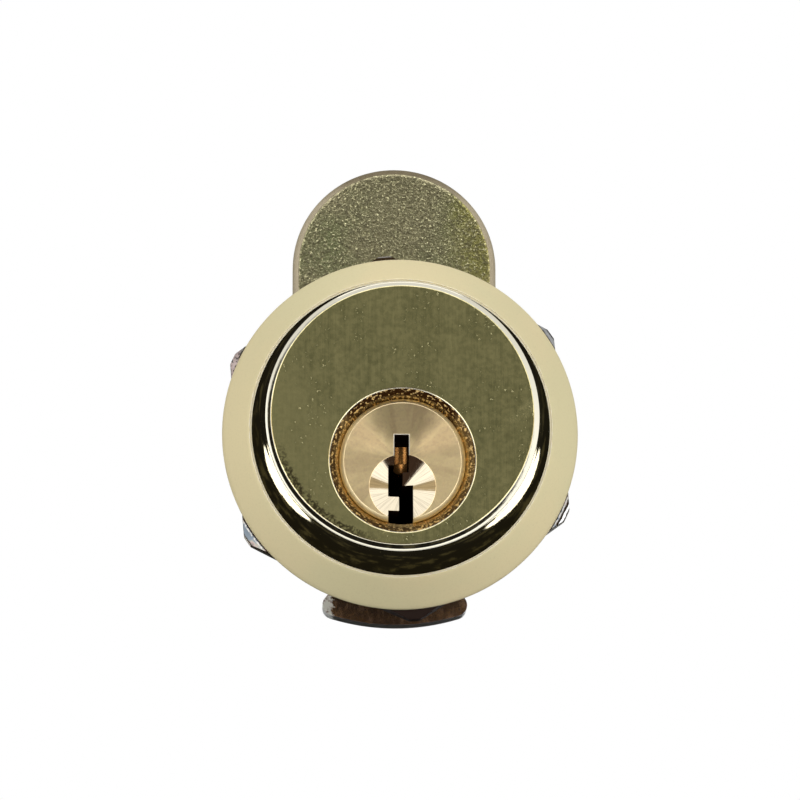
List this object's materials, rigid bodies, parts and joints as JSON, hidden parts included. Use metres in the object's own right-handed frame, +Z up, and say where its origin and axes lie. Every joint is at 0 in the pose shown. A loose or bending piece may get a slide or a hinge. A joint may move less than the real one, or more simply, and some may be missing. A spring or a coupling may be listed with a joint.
{
  "type": "hook bolt lock",
  "caption": "Threaded pin tumbler lock cylinder with a conical collar and a hex nut; its eccentric plug turns a hook bolt plate behind the door.",
  "frame": {"origin": "on the axis of the threaded body, in the plane of the door face that the collar rests on", "axes": "+Y along the body's axis into the door, +Z up towards the hook bolt at rest, +X to the right seen from outside"},
  "size_m": [0.038, 0.0463, 0.0549],
  "materials": {
    "polished_brass_plate": "polished pale brass plating",
    "collar_brass": "satin pale brass plating",
    "bare_brass": "brushed, unplated",
    "pin_brass": "turned",
    "nut_steel": "zinc plated, faintly iridescent",
    "hook_steel": "tumbled steel with yellow zinc plating",
    "dark_steel": "dark polished steel",
    "spring_steel": "drawn wire",
    "bright_steel": "bright zinc plating"
  },
  "bodies": {
    "cylinder": {"cylinder_shell": "polished_brass_plate", "collar_ring": "collar_brass", "hex_nut": "nut_steel", "chamber_caps": "bare_brass", "stop_pins": "bright_steel", "pin_spring_1": "spring_steel", "pin_spring_2": "spring_steel", "pin_spring_3": "spring_steel", "pin_spring_4": "spring_steel", "pin_spring_5": "spring_steel"},
    "rotor": {"plug": "bare_brass", "stop_plate": "dark_steel", "hook_bolt": "hook_steel", "tail_washer": "bright_steel", "lock_washer": "bright_steel", "tail_screw": "bright_steel"},
    "driver_1": {"driver_pin_1": "pin_brass"},
    "driver_2": {"driver_pin_2": "pin_brass"},
    "driver_3": {"driver_pin_3": "pin_brass"},
    "driver_4": {"driver_pin_4": "pin_brass"},
    "driver_5": {"driver_pin_5": "pin_brass"},
    "tumbler_1": {"key_pin_1": "pin_brass"},
    "tumbler_2": {"key_pin_2": "pin_brass"},
    "tumbler_3": {"key_pin_3": "pin_brass"},
    "tumbler_4": {"key_pin_4": "pin_brass"},
    "tumbler_5": {"key_pin_5": "pin_brass"}
  },
  "joints": [
    {"name": "plug_turn", "type": "hinge", "parent": "cylinder", "child": "rotor", "pos_m": [0, 0, -0.00486], "axis": [0, 1, 0], "range_deg": [0, 90]},
    {"name": "driver_lift_1", "type": "slide", "parent": "cylinder", "child": "driver_1", "axis": [0, 0, 1], "range_m": [0, 0.0024], "stiffness_N_per_m": 100, "springref_m": -0.0002, "deforming": ["pin_spring_1"]},
    {"name": "driver_lift_2", "type": "slide", "parent": "cylinder", "child": "driver_2", "axis": [0, 0, 1], "range_m": [0, 0.0015], "stiffness_N_per_m": 100, "springref_m": -0.0002, "deforming": ["pin_spring_2"]},
    {"name": "driver_lift_3", "type": "slide", "parent": "cylinder", "child": "driver_3", "axis": [0, 0, 1], "range_m": [0, 0.0009], "stiffness_N_per_m": 100, "springref_m": -0.0002, "deforming": ["pin_spring_3"]},
    {"name": "driver_lift_4", "type": "slide", "parent": "cylinder", "child": "driver_4", "axis": [0, 0, 1], "range_m": [0, 0.0021], "stiffness_N_per_m": 100, "springref_m": -0.0002, "deforming": ["pin_spring_4"]},
    {"name": "driver_lift_5", "type": "slide", "parent": "cylinder", "child": "driver_5", "axis": [0, 0, 1], "range_m": [0, 0.0012], "stiffness_N_per_m": 100, "springref_m": -0.0002, "deforming": ["pin_spring_5"]},
    {"name": "tumbler_lift_1", "type": "slide", "parent": "rotor", "child": "tumbler_1", "axis": [0, 0, 1], "range_m": [0, 0.0024]},
    {"name": "tumbler_lift_2", "type": "slide", "parent": "rotor", "child": "tumbler_2", "axis": [0, 0, 1], "range_m": [0, 0.0015]},
    {"name": "tumbler_lift_3", "type": "slide", "parent": "rotor", "child": "tumbler_3", "axis": [0, 0, 1], "range_m": [0, 0.0009]},
    {"name": "tumbler_lift_4", "type": "slide", "parent": "rotor", "child": "tumbler_4", "axis": [0, 0, 1], "range_m": [0, 0.0021]},
    {"name": "tumbler_lift_5", "type": "slide", "parent": "rotor", "child": "tumbler_5", "axis": [0, 0, 1], "range_m": [0, 0.0012]}
  ],
  "couplings": [
    {"joint": "tumbler_lift_1", "follows": "driver_lift_1", "ratio": 1},
    {"joint": "tumbler_lift_2", "follows": "driver_lift_2", "ratio": 1},
    {"joint": "tumbler_lift_3", "follows": "driver_lift_3", "ratio": 1},
    {"joint": "tumbler_lift_4", "follows": "driver_lift_4", "ratio": 1},
    {"joint": "tumbler_lift_5", "follows": "driver_lift_5", "ratio": 1}
  ]
}
